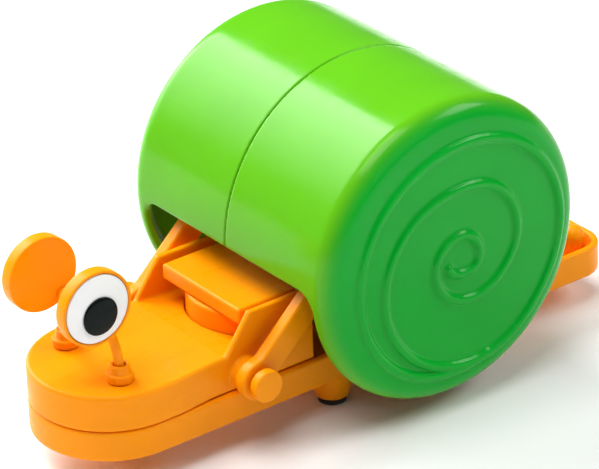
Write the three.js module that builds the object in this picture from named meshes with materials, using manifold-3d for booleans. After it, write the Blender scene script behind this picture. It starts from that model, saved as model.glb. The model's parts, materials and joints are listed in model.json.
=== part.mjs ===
// A snail-shaped desk tape dispenser, in millimetres, +Z up.
// The head points along -Y, the tail along +Y, and the shell's axis lies along X.
// The origin is on the desk, under the middle of the whole object.
//
// The body is a shallow tray with an upper body on its front half. The shell is two caps on two arms, which
// swing forward about two snap pins in the upper body. A spool between the arms carries the tape. The tape
// leaves through the mouth in the shell's front, over a sprung deck plate between the two cheeks.

import * as THREE from 'three';
import * as BufferGeometryUtils from 'three/addons/utils/BufferGeometryUtils.js';
import Module from 'manifold-3d';

const wasm = await Module();
wasm.setup();

// ---------------------------------------------------------------- driving dimensions

const gap = 0.2; // between parts that rest on each other
const clearance = 0.3; // between parts that slide or turn on each other
const snug = 0.15; // around parts that are pressed or screwed in
const seating = 0.1; // between parts that are held against each other
const rooted = 0.5; // how far one shape runs into another that it is moulded with
const beyond = 80; // farther out than any part of the object

const body = { halfWidth: 12.9, frontY: -51.5, tailY: 51.3, cornerRadius: 5, wall: 1.2 };
body.headCentreY = body.frontY + body.halfWidth;

const tray = { bottom: 5, top: 10.05, floor: 1.2 };
const upper = { bottom: tray.top + gap, top: 16.2, halfWidth: 12.2, wall: 1.5, rearY: -9 };
upper.narrowFromY = -36; // the sides draw in gently here, which leaves a ledge beside the arms
upper.narrowToY = -27;

const cheek = { thickness: 1.1, footY: -25.5, topFrontY: -21, topRearY: -10.2, top: 22.45 };
const trough = { floor: 15.6, startY: cheek.footY, levelY: -20 };

const deck = { halfWidth: 9.9, frontY: -21.4, rearY: -10.3, thickness: 2.65, top: 22 };
const plunger = { radius: 10.3, centreY: -11.6, rearY: -10.1, wall: 1.2, bottom: 14.1 };
const well = { floor: 12.2, underside: 11 };
const stem = { y: -16.1, radius: 1.2, barbRadius: 2, barbTop: 10.7, barbBottom: 9.5 };
const spring = { meanRadius: 2.9, wireRadius: 0.35, turns: 4.5 };

const pivot = { y: -22.6, z: 12.9, pinRadius: 1.2, eyeRadius: 3.2, collarRadius: 2.6 };
const barb = { radius: 1.7, tipRadius: 0.9, tipX: 9.3, backX: 10.4, splitWidth: 0.6 };
const pinPocket = { innerX: 8.9, halfSize: 1.9 }; // room for the barb inside the upper body's side wall
const knob = { radius: 2.6, collarRadius: 2.1, innerX: 17.2, faceX: 18.9 };
const arm = { innerX: 14.3, outerX: 16.5, width: 4.3, hubRadius: 12.8 };

const shell = { y: 8.7, z: 27.5, radius: 25, halfWidth: 25.4, wall: 1.5, edgeRadius: 3.6 };
shell.mouthHalfWidth = 21.4;
shell.mouthTopZ = 27;
shell.rearEdgeZ = tray.top + 0.45; // the wall's rear edge stops just above the tray's rim
const boss = { outerRadius: 6.2, innerRadius: 4.4 };
const peg = { radius: 1, shoulderRadius: 2.1, circle: 8.6, angles: [90, 210, 330] };

// The bead on each end face: a hand-drawn spiral of a little over three turns, whose end runs into the turn
// inside it. Its radii are given at every eighth of a turn, from the middle outwards.
const bead = { height: 0.7, halfWidth: 0.75, startAngle: -166.5, turnsPerRadius: 1 / 8, stepsPerRadius: 3 };
bead.sunk = 0.1; // its centre line lies below the end face, so that it runs into the wall
bead.centre = { y: 1.5, z: -1.4 }; // from the shell's axis
bead.radii = [
  3.1, 2.5, 2.3, 2.9, 3.2, 3.7, 4.5, 5.2, 5.8, 6.3, 7.3, 8.7, 11, 12.3,
  12.5, 14.1, 15.9, 17.3, 18.5, 18.5, 19.6, 19.9, 19.8, 20.2, 20.2, 19.7, 18.3,
];

const axle = { radius: 2.2, tipX: 16.2 };
const spool = { radius: 12.4, halfWidth: 9.4, rim: 1.2, web: 0.8 }; // its web is twice this thick
const core = { innerRadius: 12.7, outerRadius: 13.8 };
const roll = { radius: 18, halfWidth: 9.5 };

const foot = { topRadius: 3.1, soleRadius: 2.25, soleThickness: 0.8, x: 9.9, midY: -3.9, rearY: 26.7 };
foot.bowlRadius = 0.85; // rounds the peg above its sole
const screw = { x: 8.6, frontY: -32.5, rearY: -13.5, headRadius: 1.9, headHeight: 1, shankRadius: 0.85 };
const driverSlot = { halfLength: 1.4, halfWidth: 0.25, depth: 0.45 };
const screwBoss = { radius: 3, top: tray.bottom + 3, postRadius: 2.3 };
const ballast = { radius: 7.2, bottom: tray.bottom + 1.5, thickness: 3, boreRadius: 1.5 };
const tailPost = { x: 8, y: 47.6, radius: 1.8, top: 12.1 };

const socket = { x: 7.1, y: -41.8, ringRadius: 2.1, collarRadius: 1.55, boreRadius: 1, top: 19.1 };
socket.ringTop = 17.7;
const eye = { x: 7.05, y: -45.9, z: 30.25, radius: 6.15, thickness: 2.2, recess: 0.55, lip: 0.4 };
const pupil = { radius: 3.1, back: 0.2, down: 1.1, thickness: 0.5 };
const stalk = { radius: 0.75, padRadius: 1.1, padThickness: 1.6, padBack: 3.2, padDown: 4.2 };

const roundSegments = 56; // sides of the shell and the hub plates
const smallSegments = 16; // sides of pins, pegs and posts
const arcSegments = 8; // each arc of an outline has twice as many steps

// ---------------------------------------------------------------- looks

function gloss(color, roughness = 0.22) {
  return new THREE.MeshStandardMaterial({ color, roughness, metalness: 0 });
}

const orange = () => gloss(0xffa000);
const green = () => gloss(0x4fc425);
const white = () => gloss(0xf7f7f4);
const black = () => gloss(0x0c1210, 0.12);
const rubber = () => gloss(0x151515, 0.85);
const card = () => gloss(0xc9a879, 0.9);
const tapeFilm = () => gloss(0xe8e2cf, 0.35);
const steel = () => new THREE.MeshStandardMaterial({ color: 0xb4b6b8, roughness: 0.35, metalness: 0.9 });

// ---------------------------------------------------------------- solids from three.js geometry

/** A manifold solid from a closed three.js geometry, with its faces turned outwards. */
function toSolid(geometry) {
  const bare = geometry.clone();
  bare.deleteAttribute('normal');
  bare.deleteAttribute('uv');
  const merged = BufferGeometryUtils.mergeVertices(bare, 1e-4);
  const index = merged.index.array;
  const corners = [];
  for (let i = 0; i < index.length; i += 3) {
    const [a, b, c] = [index[i], index[i + 1], index[i + 2]];
    if (a !== b && b !== c && c !== a) corners.push(a, b, c);
  }
  const vertProperties = new Float32Array(merged.attributes.position.array);
  const build = (triangles) =>
    new wasm.Manifold(new wasm.Mesh({ numProp: 3, vertProperties, triVerts: new Uint32Array(triangles) }));
  const solid = build(corners);
  return solid.volume() > 0 ? solid : build(corners.reverse());
}

function union(...solids) {
  return solids.reduce((sum, next) => sum.add(next));
}

function cut(solid, ...tools) {
  return tools.reduce((rest, tool) => rest.subtract(tool), solid);
}

function box(x0, x1, y0, y1, z0, z1) {
  const geometry = new THREE.BoxGeometry(x1 - x0, y1 - y0, z1 - z0);
  geometry.translate((x0 + x1) / 2, (y0 + y1) / 2, (z0 + z1) / 2);
  return toSolid(geometry);
}

/** An outline in X and Y, raised from z0 to z1. */
function plateZ(outline, z0, z1, curveSegments = arcSegments) {
  const geometry = new THREE.ExtrudeGeometry(outline, { depth: z1 - z0, bevelEnabled: false, curveSegments });
  geometry.translate(0, 0, z0);
  return toSolid(geometry);
}

/** An outline in Y and Z, drawn out from x0 to x1. */
function plateX(outline, x0, x1, curveSegments = arcSegments) {
  const geometry = new THREE.ExtrudeGeometry(outline, { depth: x1 - x0, bevelEnabled: false, curveSegments });
  const [x, y, z] = [new THREE.Vector3(1, 0, 0), new THREE.Vector3(0, 1, 0), new THREE.Vector3(0, 0, 1)];
  geometry.applyMatrix4(new THREE.Matrix4().makeBasis(y, z, x));
  geometry.translate(x0, 0, 0);
  return toSolid(geometry);
}

/** A profile of [radius, height] points turned about the vertical through (x, y). */
function turnedZ(profile, x, y, segments = smallSegments) {
  const geometry = new THREE.LatheGeometry(profile.map(([r, h]) => new THREE.Vector2(r, h)), segments);
  geometry.rotateX(Math.PI / 2);
  geometry.translate(x, y, 0);
  return toSolid(geometry);
}

/** A profile of [radius, x] points turned about the line through (y, z) along X. */
function turnedX(profile, y, z, segments = smallSegments) {
  const geometry = new THREE.LatheGeometry(profile.map(([r, h]) => new THREE.Vector2(r, h)), segments);
  geometry.rotateZ(-Math.PI / 2);
  geometry.translate(0, y, z);
  return toSolid(geometry);
}

const rodZ = (radius, z0, z1, x, y, segments) =>
  turnedZ([[0, z0], [radius, z0], [radius, z1], [0, z1]], x, y, segments);

const rodX = (radius, x0, x1, y, z, segments) =>
  turnedX([[0, x0], [radius, x0], [radius, x1], [0, x1]], y, z, segments);

/** A closed ring profile between two radii, from h0 to h1. */
const ring = (inner, outer, h0, h1) => [[inner, h0], [outer, h0], [outer, h1], [inner, h1], [inner, h0]];

/** Points of an arc about (centreA, centreB), as pairs, from one angle to another in degrees. */
function arc(centreA, centreB, radius, from, to, steps) {
  return Array.from({ length: steps + 1 }, (_, i) => {
    const angle = THREE.MathUtils.degToRad(from + ((to - from) * i) / steps);
    return [centreA + radius * Math.cos(angle), centreB + radius * Math.sin(angle)];
  });
}

/** A round or oval bar along a curve, with an even number of sides. */
function sweep(curve, steps, sides, radius, otherRadius = radius) {
  const section = new THREE.Shape();
  section.absellipse(0, 0, radius, otherRadius, 0, 2 * Math.PI);
  return toSolid(new THREE.ExtrudeGeometry(section, { steps, curveSegments: sides / 2, extrudePath: curve }));
}

const dispenser = new THREE.Group();

function addPiece(name, solid, material) {
  const mesh = solid.getMesh();
  const geometry = new THREE.BufferGeometry();
  geometry.setAttribute('position', new THREE.BufferAttribute(new Float32Array(mesh.vertProperties), 3));
  geometry.setIndex(new THREE.BufferAttribute(new Uint32Array(mesh.triVerts), 1));
  geometry.computeVertexNormals();
  const piece = new THREE.Mesh(geometry, material);
  piece.name = name;
  dispenser.add(piece);
}

/** Adds a piece made for the right (+X) side, and its mirror image on the left. */
function addPair(name, solid, makeMaterial) {
  addPiece(`${name}_right`, solid, makeMaterial());
  addPiece(`${name}_left`, solid.mirror([1, 0, 0]), makeMaterial());
}

// ---------------------------------------------------------------- base tray and what it carries

/** The tray's outline, round at the head and with small corners at the tail, drawn in by an inset. */
function trayOutline(inset) {
  const half = body.halfWidth - inset;
  const tail = body.tailY - inset;
  const corner = body.cornerRadius - inset;
  const outline = new THREE.Shape();
  outline.moveTo(half, tail - corner);
  outline.lineTo(half, body.headCentreY);
  outline.absarc(0, body.headCentreY, half, 0, -Math.PI, true);
  outline.lineTo(-half, tail - corner);
  outline.absarc(corner - half, tail - corner, corner, Math.PI, Math.PI / 2, true);
  outline.lineTo(half - corner, tail);
  outline.absarc(half - corner, tail - corner, corner, Math.PI / 2, 0, true);
  return outline;
}

const footPlaces = [
  ['front', 0, body.headCentreY],
  ['mid_right', foot.x, foot.midY],
  ['mid_left', -foot.x, foot.midY],
  ['rear_right', foot.x, foot.rearY],
  ['rear_left', -foot.x, foot.rearY],
];

const screwPlaces = [
  ['front_right', screw.x, screw.frontY],
  ['front_left', -screw.x, screw.frontY],
  ['rear_right', screw.x, screw.rearY],
  ['rear_left', -screw.x, screw.rearY],
];
const screwSeat = tray.bottom + screw.headHeight + 0.4; // underside of the web that each screw head pulls on

function makeFootPeg(x, y) {
  const top = tray.bottom + rooted;
  const bottom = foot.soleThickness + gap;
  const bowl = arc(foot.soleRadius, bottom + foot.bowlRadius, foot.bowlRadius, -90, 0, 4);
  const rim = [[foot.topRadius, tray.bottom - 0.4], [foot.topRadius, top]];
  return turnedZ([[0, bottom], ...bowl, ...rim, [0, top]], x, y);
}

function makeTray() {
  const outer = plateZ(trayOutline(0), tray.bottom, tray.top);
  const hollow = plateZ(trayOutline(body.wall), tray.bottom + tray.floor, tray.top + 1);
  const pegs = footPlaces.map(([, x, y]) => makeFootPeg(x, y));
  const bosses = screwPlaces.map(([, x, y]) =>
    rodZ(screwBoss.radius, tray.bottom + rooted, screwBoss.top, x, y));
  const counterbores = screwPlaces.map(([, x, y]) =>
    rodZ(screw.headRadius + gap, tray.bottom - 1, screwSeat, x, y));
  const holes = screwPlaces.map(([, x, y]) =>
    rodZ(screw.shankRadius + gap, tray.bottom - 1, screwBoss.top + 1, x, y));
  const locatorTop = ballast.bottom + ballast.thickness - rooted;
  const locator = rodZ(ballast.boreRadius - clearance, tray.bottom + rooted, locatorTop, 0, body.headCentreY);
  return cut(union(cut(outer, hollow), ...pegs, ...bosses, locator), ...counterbores, ...holes);
}

function makeScrew(x, y) {
  const headTop = screwSeat - seating;
  const headBottom = headTop - screw.headHeight;
  const tip = well.underside - 0.4;
  const profile = [
    [0, headBottom], [screw.headRadius - 0.3, headBottom], [screw.headRadius, headBottom + 0.3],
    [screw.headRadius, headTop], [screw.shankRadius, headTop], [screw.shankRadius, tip - 0.6], [0, tip],
  ];
  const { halfLength, halfWidth, depth } = driverSlot;
  const slotTop = headBottom + depth;
  const slot = box(x - halfLength, x + halfLength, y - halfWidth, y + halfWidth, 0, slotTop);
  return cut(turnedZ(profile, x, y), slot);
}

addPiece('base_tray', makeTray(), orange());
for (const [place, x, y] of footPlaces) {
  addPiece(`sole_${place}`, rodZ(foot.soleRadius, 0, foot.soleThickness, x, y), rubber());
}
for (const [place, x, y] of screwPlaces) {
  addPiece(`screw_${place}`, makeScrew(x, y), steel());
}
addPiece(
  'ballast_disc',
  turnedZ(ring(ballast.boreRadius, ballast.radius, ballast.bottom, ballast.bottom + ballast.thickness),
    0, body.headCentreY, 32),
  steel(),
);

/** A round-headed post that stands in the tray's open tail. */
function makeTailPost() {
  const bottom = tray.bottom + tray.floor + gap;
  const domeCentre = tailPost.top - tailPost.radius;
  const dome = arc(0, domeCentre, tailPost.radius, 0, 90, 6);
  return turnedZ([[0, bottom], [tailPost.radius, bottom], ...dome], tailPost.x, tailPost.y);
}
addPair('tail_post', makeTailPost(), orange);

// ---------------------------------------------------------------- upper body

/** The upper body's outline: the head's round front, then slightly narrower sides. */
function upperOutline(inset) {
  const head = body.halfWidth - inset;
  const waist = upper.halfWidth - inset;
  const rear = upper.rearY - inset;
  const outline = new THREE.Shape();
  outline.moveTo(waist, rear);
  outline.lineTo(waist, upper.narrowToY);
  outline.lineTo(head, upper.narrowFromY);
  outline.lineTo(head, body.headCentreY);
  outline.absarc(0, body.headCentreY, head, 0, -Math.PI, true);
  outline.lineTo(-head, upper.narrowFromY);
  outline.lineTo(-waist, upper.narrowToY);
  outline.lineTo(-waist, rear);
  return outline;
}

/** A side view as a Shape, from [y, z] points. */
const sideView = (points) => new THREE.Shape(points.map(([y, z]) => new THREE.Vector2(y, z)));

function makeCheek() {
  const profile = sideView([
    [cheek.footY, upper.top - 0.5], [upper.rearY, upper.top - 0.5], [upper.rearY, upper.top + 1],
    [cheek.topRearY, cheek.top], [cheek.topFrontY, cheek.top], [cheek.footY, upper.top],
  ]);
  return plateX(profile, upper.halfWidth - cheek.thickness, upper.halfWidth);
}

/** The plunger's outline: a round front and a flat back, drawn in or out by an inset. */
function plungerOutline(inset) {
  const radius = plunger.radius - inset;
  const rear = plunger.rearY - inset;
  const half = Math.sqrt(radius ** 2 - (rear - plunger.centreY) ** 2);
  const rearAngle = Math.atan2(rear - plunger.centreY, half);
  const outline = new THREE.Shape();
  outline.absarc(0, plunger.centreY, radius, rearAngle, -Math.PI - rearAngle, true);
  outline.closePath();
  return outline;
}

function makeUpperBody() {
  const cheekRight = makeCheek();
  const block = union(
    plateZ(upperOutline(0), upper.bottom, upper.top),
    cheekRight,
    cheekRight.mirror([1, 0, 0]),
  );
  // A collar spaces each arm off the side; it stops at the parting plane, above the tray's rim.
  const collar = rodX(pivot.collarRadius, upper.halfWidth - rooted, arm.innerX - gap, pivot.y, pivot.z)
    .intersect(box(0, beyond, -beyond, beyond, upper.bottom, beyond));
  const floorCut = plateX(
    sideView([
      [trough.startY, upper.top], [trough.levelY, trough.floor], [upper.rearY + 1, trough.floor],
      [upper.rearY + 1, upper.top + 1], [trough.startY, upper.top + 1],
    ]),
    cheek.thickness - upper.halfWidth,
    upper.halfWidth - cheek.thickness,
  );

  // Hollow from below: deep under the head, shallow under the trough.
  const hollowFront = box(-beyond, beyond, -beyond, trough.startY - 1, 0, upper.top);
  const hollowRear = box(-beyond, beyond, trough.startY - 1, beyond, 0, well.underside);
  const hollow = plateZ(upperOutline(upper.wall), upper.bottom - 1, upper.top - upper.wall)
    .intersect(union(hollowFront, hollowRear));

  const { innerX, halfSize } = pinPocket;
  const pocket = box(innerX, upper.halfWidth - upper.wall,
    pivot.y - halfSize, pivot.y + halfSize, upper.bottom - 1, pivot.z + halfSize);
  const pinHole = rodX(pivot.pinRadius + clearance, innerX, beyond, pivot.y, pivot.z);
  const wellHollow = plateZ(plungerOutline(-clearance), well.floor, upper.top + 1, 16);
  const stemHole = rodZ(stem.radius + clearance, 0, upper.top, 0, stem.y);
  const socketHole = rodZ(socket.collarRadius + snug, upper.top - 3, upper.top + 1, socket.x, socket.y);

  const posts = screwPlaces.map(([, x, y]) => {
    const roof = y < trough.startY ? upper.top - upper.wall : well.underside;
    return rodZ(screwBoss.postRadius, screwBoss.top + gap, roof + rooted, x, y);
  });
  const screwHoles = screwPlaces.map(([, x, y]) =>
    rodZ(screw.shankRadius + snug, 0, well.underside - gap, x, y));

  const shelled = cut(union(block, collar, collar.mirror([1, 0, 0])), floorCut, hollow);
  return cut(
    union(shelled, ...posts),
    ...screwHoles, wellHollow, stemHole,
    pocket, pocket.mirror([1, 0, 0]), pinHole, pinHole.mirror([1, 0, 0]),
    socketHole, socketHole.mirror([1, 0, 0]),
  );
}
addPiece('upper_body', makeUpperBody(), orange());

// ---------------------------------------------------------------- eyes

function makeSocket() {
  const { boreRadius, collarRadius, ringRadius, ringTop, top } = socket;
  const seat = upper.top + seating;
  const spigotEnd = upper.top - upper.wall + seating;
  const profile = [
    [boreRadius, spigotEnd], [collarRadius, spigotEnd], [collarRadius, seat], [ringRadius, seat],
    [ringRadius, ringTop], [collarRadius, ringTop], [collarRadius, top], [boreRadius, top],
    [boreRadius, spigotEnd],
  ];
  return turnedZ(profile, socket.x, socket.y);
}

/** The stalk stands in its socket, bends in and forward, and ends in a pad behind the eye disc. */
function makeStalk() {
  const padOuterX = eye.x - eye.thickness / 2 - gap;
  const padInnerX = padOuterX - stalk.padThickness;
  const pad = { y: eye.y + stalk.padBack, z: eye.z - stalk.padDown };
  const curve = new THREE.CatmullRomCurve3([
    new THREE.Vector3(socket.x, socket.y, upper.top - 1),
    new THREE.Vector3(socket.x, socket.y, socket.top),
    new THREE.Vector3(socket.x - 0.1, socket.y - 0.1, socket.top + 2.2),
    new THREE.Vector3(socket.x - 1.4, socket.y - 0.6, socket.top + 4.6),
    new THREE.Vector3(padInnerX + rooted, pad.y, pad.z),
  ]);
  return union(
    sweep(curve, 14, 8, stalk.radius),
    rodX(stalk.padRadius, padInnerX, padOuterX, pad.y, pad.z),
  );
}

/** The eye disc has a shallow recess with a lip, and the white lies in it. */
function makeEyeDisc() {
  const [inner, outer] = [eye.x - eye.thickness / 2, eye.x + eye.thickness / 2];
  const recessRadius = eye.radius - eye.lip;
  const profile = [
    [0, inner], [eye.radius - 0.3, inner], [eye.radius, inner + 0.3], [eye.radius, outer - 0.2],
    [eye.radius - 0.2, outer], [recessRadius, outer], [recessRadius, outer - eye.recess],
    [0, outer - eye.recess],
  ];
  return turnedX(profile, eye.y, eye.z, 32);
}

const whiteFaceX = eye.x + eye.thickness / 2 + 0.25;
function makeEyeWhite() {
  const radius = eye.radius - eye.lip - snug;
  const back = eye.x + eye.thickness / 2 - eye.recess + seating;
  return turnedX([[0, back], [radius, back], [radius, whiteFaceX - 0.3], [radius - 0.4, whiteFaceX],
    [0, whiteFaceX]], eye.y, eye.z, 32);
}

function makePupil() {
  const back = whiteFaceX + seating;
  const front = back + pupil.thickness;
  return turnedX([[0, back], [pupil.radius, back], [pupil.radius, front - 0.25], [pupil.radius - 0.4, front],
    [0, front]], eye.y + pupil.back, eye.z - pupil.down, 24);
}

addPair('eye_socket', makeSocket(), orange);
addPair('eye_stalk', makeStalk(), orange);
addPair('eye_disc', makeEyeDisc(), orange);
addPair('eye_white', makeEyeWhite(), white);
addPair('eye_pupil', makePupil(), black);

// ---------------------------------------------------------------- sprung deck

function makeDeckPlate() {
  return box(-deck.halfWidth, deck.halfWidth, deck.frontY, deck.rearY, deck.top - deck.thickness, deck.top);
}

const plungerTop = deck.top - deck.thickness - seating;
const plungerRoof = plungerTop - plunger.wall; // the spring pushes up here

/** A cup, open below, with a barbed stem that keeps the deck from lifting out of the well. */
function makePlunger() {
  const cup = cut(
    plateZ(plungerOutline(0), plunger.bottom, plungerTop, 16),
    plateZ(plungerOutline(plunger.wall), plunger.bottom - 1, plungerRoof, 16),
  );
  const stemProfile = [
    [0, stem.barbBottom], [stem.radius - 0.2, stem.barbBottom], [stem.barbRadius, stem.barbTop - 0.2],
    [stem.barbRadius, stem.barbTop], [stem.radius, stem.barbTop], [stem.radius, plungerRoof + 0.4],
    [0, plungerRoof + 0.4],
  ];
  return union(cup, turnedZ(stemProfile, 0, stem.y));
}

class Helix extends THREE.Curve {
  constructor(radius, height, turns) {
    super();
    Object.assign(this, { radius, height, turns });
  }

  getPoint(t, target = new THREE.Vector3()) {
    const angle = 2 * Math.PI * this.turns * t;
    return target.set(this.radius * Math.cos(angle), this.radius * Math.sin(angle), this.height * t);
  }
}

function makeSpring() {
  const bottom = well.floor + gap + spring.wireRadius;
  const height = plungerRoof - gap - spring.wireRadius - bottom;
  const coil = sweep(new Helix(spring.meanRadius, height, spring.turns), 63, 6, spring.wireRadius);
  return coil.translate([0, stem.y, bottom]);
}

addPiece('deck_plate', makeDeckPlate(), orange());
addPiece('deck_plunger', makePlunger(), orange());
addPiece('deck_spring', makeSpring(), steel());

// ---------------------------------------------------------------- arms and pivot pins

const armDirection = new THREE.Vector2(shell.y - pivot.y, shell.z - pivot.z);
const armTilt = (() => {
  // The arm's front edge is tangent to the round hub plate.
  const offset = arm.hubRadius - arm.width / 2;
  return armDirection.angle() + Math.asin(offset / armDirection.length());
})();
const slotTilt = THREE.MathUtils.degToRad(-55); // the axle drops out of the hub plate this way

/** A straight bar in side view, from a point along a direction. */
function barX(y, z, tilt, length, width, x0, x1) {
  const along = new THREE.Vector2(Math.cos(tilt), Math.sin(tilt));
  const side = new THREE.Vector2(-along.y, along.x).multiplyScalar(width / 2);
  const start = new THREE.Vector2(y, z);
  const end = start.clone().addScaledVector(along, length);
  const outline = new THREE.Shape([
    start.clone().sub(side), end.clone().sub(side), end.clone().add(side), start.clone().add(side),
  ]);
  return plateX(outline, x0, x1);
}

const pegCentres = peg.angles.map((degrees) => {
  const angle = THREE.MathUtils.degToRad(degrees);
  return [shell.y + peg.circle * Math.cos(angle), shell.z + peg.circle * Math.sin(angle)];
});

function makeArm() {
  const reach = armDirection.length() * Math.cos(armTilt - armDirection.angle());
  const plate = union(
    rodX(pivot.eyeRadius, arm.innerX, arm.outerX, pivot.y, pivot.z, 32),
    barX(pivot.y, pivot.z, armTilt, reach, arm.width, arm.innerX, arm.outerX),
    rodX(arm.hubRadius, arm.innerX, arm.outerX, shell.y, shell.z, roundSegments),
  );
  const through = [arm.innerX - 1, arm.outerX + 1];
  return cut(
    plate,
    rodX(pivot.pinRadius + clearance, ...through, pivot.y, pivot.z),
    rodX(axle.radius + clearance, ...through, shell.y, shell.z),
    barX(shell.y, shell.z, slotTilt, arm.hubRadius + 2, 2 * axle.radius - 0.5, ...through),
    ...pegCentres.map(([y, z]) => rodX(peg.radius + clearance, ...through, y, z)),
  );
}

/** A snap pin: a knob outside, a shank through the arm, and a split barb inside the upper body. */
function makePivotPin() {
  const profile = [
    [0, barb.tipX], [barb.tipRadius, barb.tipX], [barb.radius, barb.backX - 0.2], [barb.radius, barb.backX],
    [pivot.pinRadius, barb.backX], [pivot.pinRadius, arm.outerX + gap], [knob.collarRadius, arm.outerX + gap],
    [knob.collarRadius, knob.innerX], [knob.radius, knob.innerX], [knob.radius, knob.faceX - 0.4],
    [knob.radius - 0.4, knob.faceX], [0, knob.faceX],
  ];
  const half = barb.splitWidth / 2;
  const split = box(barb.tipX - 1, arm.innerX, pivot.y - half, pivot.y + half, 0, beyond);
  return cut(turnedX(profile, pivot.y, pivot.z), split);
}

addPair('arm', makeArm(), orange);
addPair('pivot_pin', makePivotPin(), orange);

// ---------------------------------------------------------------- shell

/** The raised bead on an end face, as a round-backed bar along a smooth curve through its radii. */
function makeBead() {
  const points = bead.radii.map((radius, i) => {
    const angle = THREE.MathUtils.degToRad(bead.startAngle + 360 * bead.turnsPerRadius * i);
    return new THREE.Vector3(
      shell.halfWidth - bead.sunk,
      shell.y + bead.centre.y + radius * Math.cos(angle),
      shell.z + bead.centre.z + radius * Math.sin(angle),
    );
  });
  const steps = (points.length - 1) * bead.stepsPerRadius;
  return sweep(new THREE.CatmullRomCurve3(points), steps, 8, bead.halfWidth, bead.height + bead.sunk);
}

/**
 * One half of the shell: a deep cap with a rounded edge, open at the parting plane.
 * The front lower quarter of its wall is the mouth, and the back is open below the rear edge.
 */
function makeShellHalf() {
  const parting = gap / 2;
  const { radius, halfWidth, wall, edgeRadius } = shell;
  const outerEdge = arc(radius - edgeRadius, halfWidth - edgeRadius, edgeRadius, 0, 90, 6);
  const innerEdge = arc(radius - edgeRadius, halfWidth - edgeRadius, edgeRadius - wall, 90, 0, 4);
  const profile = [
    [radius, parting], ...outerEdge, [0, halfWidth], [0, halfWidth - wall], ...innerEdge,
    [radius - wall, parting], [radius, parting],
  ];
  const cap = turnedX(profile, shell.y, shell.z, roundSegments);
  const mouth = box(-1, shell.mouthHalfWidth, -beyond, shell.y, 0, shell.mouthTopZ);
  const underside = box(-1, shell.mouthHalfWidth, shell.y - 1, beyond, 0, shell.rearEdgeZ);
  const bossTube = turnedX(
    ring(boss.innerRadius, boss.outerRadius, arm.outerX + clearance, halfWidth - wall / 2),
    shell.y, shell.z, 32,
  );
  const pegs = pegCentres.map(([y, z]) => union(
    rodX(peg.shoulderRadius, arm.outerX + clearance, halfWidth - wall / 2, y, z),
    rodX(peg.radius, arm.innerX - gap, arm.outerX + 1, y, z),
  ));
  return union(cut(cap, mouth, underside), bossTube, ...pegs, makeBead());
}
addPair('shell', makeShellHalf(), green);

// ---------------------------------------------------------------- spool and tape

function makeSpool() {
  const { radius, halfWidth, rim, web } = spool;
  return turnedX([
    [0, -axle.tipX], [axle.radius - 0.3, -axle.tipX], [axle.radius, 0.3 - axle.tipX], [axle.radius, -web],
    [radius - rim, -web], [radius - rim, -halfWidth], [radius, -halfWidth], [radius, halfWidth],
    [radius - rim, halfWidth], [radius - rim, web], [axle.radius, web], [axle.radius, axle.tipX - 0.3],
    [axle.radius - 0.3, axle.tipX], [0, axle.tipX],
  ], shell.y, shell.z, 40);
}

function makeSleeve(inner, outer, halfWidth) {
  return turnedX(ring(inner, outer, -halfWidth, halfWidth), shell.y, shell.z, 40);
}

addPiece('spool_hub', makeSpool(), orange());
addPiece('tape_core', makeSleeve(core.innerRadius, core.outerRadius, spool.halfWidth), card());
addPiece('tape_roll', makeSleeve(core.outerRadius + snug, roll.radius, roll.halfWidth), tapeFilm());

export default dispenser;
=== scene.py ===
import json
import math
from itertools import product

import bmesh
import bpy
import numpy as np
from mathutils import Matrix, Vector


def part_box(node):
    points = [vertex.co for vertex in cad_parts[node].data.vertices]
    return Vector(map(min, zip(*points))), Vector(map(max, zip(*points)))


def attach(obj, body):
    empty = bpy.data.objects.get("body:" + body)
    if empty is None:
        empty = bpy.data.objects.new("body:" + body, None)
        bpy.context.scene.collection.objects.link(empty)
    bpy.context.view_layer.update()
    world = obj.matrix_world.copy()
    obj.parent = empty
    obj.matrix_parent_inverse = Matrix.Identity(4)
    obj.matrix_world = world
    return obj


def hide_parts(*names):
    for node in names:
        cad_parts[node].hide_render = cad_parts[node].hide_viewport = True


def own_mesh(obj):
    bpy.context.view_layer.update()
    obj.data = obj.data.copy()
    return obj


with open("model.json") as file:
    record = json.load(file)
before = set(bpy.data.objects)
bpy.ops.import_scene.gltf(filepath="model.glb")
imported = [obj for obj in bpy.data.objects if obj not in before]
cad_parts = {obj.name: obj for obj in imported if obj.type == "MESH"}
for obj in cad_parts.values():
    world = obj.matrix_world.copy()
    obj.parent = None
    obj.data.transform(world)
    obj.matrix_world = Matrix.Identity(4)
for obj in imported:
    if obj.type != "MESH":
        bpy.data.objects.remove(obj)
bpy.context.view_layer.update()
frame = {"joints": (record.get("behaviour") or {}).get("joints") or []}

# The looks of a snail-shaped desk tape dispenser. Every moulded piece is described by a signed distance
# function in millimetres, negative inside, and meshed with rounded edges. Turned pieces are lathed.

MM = 0.001


# ---------------------------------------------------------------- places, read from the frame

def box_mm(node):
    """Lowest and highest corner of a CAD node at rest, in millimetres."""
    low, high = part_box(node)
    return np.array(low) / MM, np.array(high) / MM


def middle(node):
    low, high = box_mm(node)
    return (low + high) / 2


joint = {row["name"]: row for row in frame["joints"]}
PIVOT_Y, PIVOT_Z = np.array(joint["carrier_swing"]["pos_m"])[1:] / MM
SHELL_Y, SHELL_Z = np.array(joint["spool_spin"]["pos_m"])[1:] / MM

TRAY_LOW, TRAY_HIGH = box_mm("base_tray")
UPPER_HIGH = box_mm("upper_body")[1]
SOLE_TOP = box_mm("sole_front")[1][2]
HALF_WIDTH = 12.9
TRAY_BOTTOM = 5.0
TRAY_TOP = TRAY_HIGH[2]
UPPER_BOTTOM = TRAY_TOP + 0.2  # the parting plane, just above the tray's rim
FRONT_Y, TAIL_Y = TRAY_LOW[1], TRAY_HIGH[1]
HEAD_Y = FRONT_Y + HALF_WIDTH
HEAD_TOP = 16.2
TAIL_CORNER = 5.0
WALL = 1.2

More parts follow.
